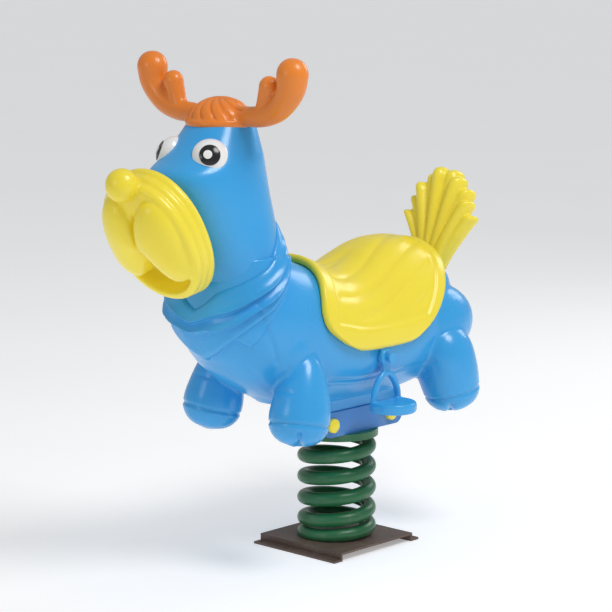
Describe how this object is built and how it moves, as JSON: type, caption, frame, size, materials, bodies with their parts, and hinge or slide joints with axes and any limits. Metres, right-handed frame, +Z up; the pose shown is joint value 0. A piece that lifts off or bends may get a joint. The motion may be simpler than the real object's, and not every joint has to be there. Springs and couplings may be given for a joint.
{
  "type": "spring rider",
  "caption": "One-seat playground spring rider: a hollow moulded antlered animal with saddle and stirrups on a coil spring and folded steel base.",
  "frame": {"origin": "centre of the four anchor holes, on the ground under the base", "axes": "the animal faces -Y, its left side is +X, +Z is up"},
  "size_m": [0.4008, 0.9017, 0.9214],
  "materials": {
    "blue_plastic": "glossy rotomoulded polyethylene",
    "yellow_plastic": "glossy rotomoulded polyethylene",
    "orange_plastic": "glossy rotomoulded polyethylene",
    "eye_white": "glossy moulded plastic",
    "pupil_black": "glossy moulded plastic",
    "spring_paint": "semi-gloss powder coat",
    "base_paint": "satin powder coat",
    "channel_paint": "semi-gloss powder coat",
    "fastener_steel": "zinc plated"
  },
  "bodies": {
    "base": {"base_plate": "base_paint"},
    "coil_low": {"spring_lower": "spring_paint"},
    "coil_mid": {"spring_middle": "spring_paint"},
    "coil_top": {"spring_upper": "spring_paint"},
    "rider": {"top_plate": "spring_paint", "mount_channel": "channel_paint", "plate_bolts": "fastener_steel", "plate_nuts": "fastener_steel", "cross_bolts": "fastener_steel", "cross_nuts": "fastener_steel", "bolt_caps": "yellow_plastic", "body_shell": "blue_plastic", "head_shell": "blue_plastic", "head_screws": "fastener_steel", "muzzle": "yellow_plastic", "muzzle_screws": "fastener_steel", "eye_left": "eye_white", "eye_right": "eye_white", "pupil_left": "pupil_black", "pupil_right": "pupil_black", "glint_left": "eye_white", "glint_right": "eye_white", "antler_cap": "orange_plastic", "antler_screws": "fastener_steel", "saddle": "yellow_plastic", "saddle_screws": "fastener_steel", "tail": "yellow_plastic", "tail_bolt": "fastener_steel", "stirrup_left": "blue_plastic", "stirrup_right": "blue_plastic", "stirrup_bolts": "fastener_steel", "stirrup_nuts": "fastener_steel"}
  },
  "joints": [
    {"name": "roll", "type": "hinge", "parent": "base", "child": "coil_low", "pos_m": [0, 0, 0.112], "axis": [0, 1, 0], "range_deg": [-15, 15], "stiffness_Nm_per_rad": 600, "deforming": ["spring_lower"]},
    {"name": "bounce", "type": "slide", "parent": "coil_low", "child": "coil_mid", "axis": [0, 0, 1], "range_m": [-0.015, 0.01], "stiffness_N_per_m": 60000, "deforming": ["spring_middle"]},
    {"name": "pitch", "type": "hinge", "parent": "coil_mid", "child": "coil_top", "pos_m": [0, 0, 0.112], "axis": [1, 0, 0], "range_deg": [-18, 18], "stiffness_Nm_per_rad": 600, "deforming": ["spring_upper"]},
    {"name": "twist", "type": "hinge", "parent": "coil_top", "child": "rider", "pos_m": [0, 0, 0.112], "axis": [0, 0, 1], "range_deg": [-8, 8], "stiffness_Nm_per_rad": 500}
  ]
}
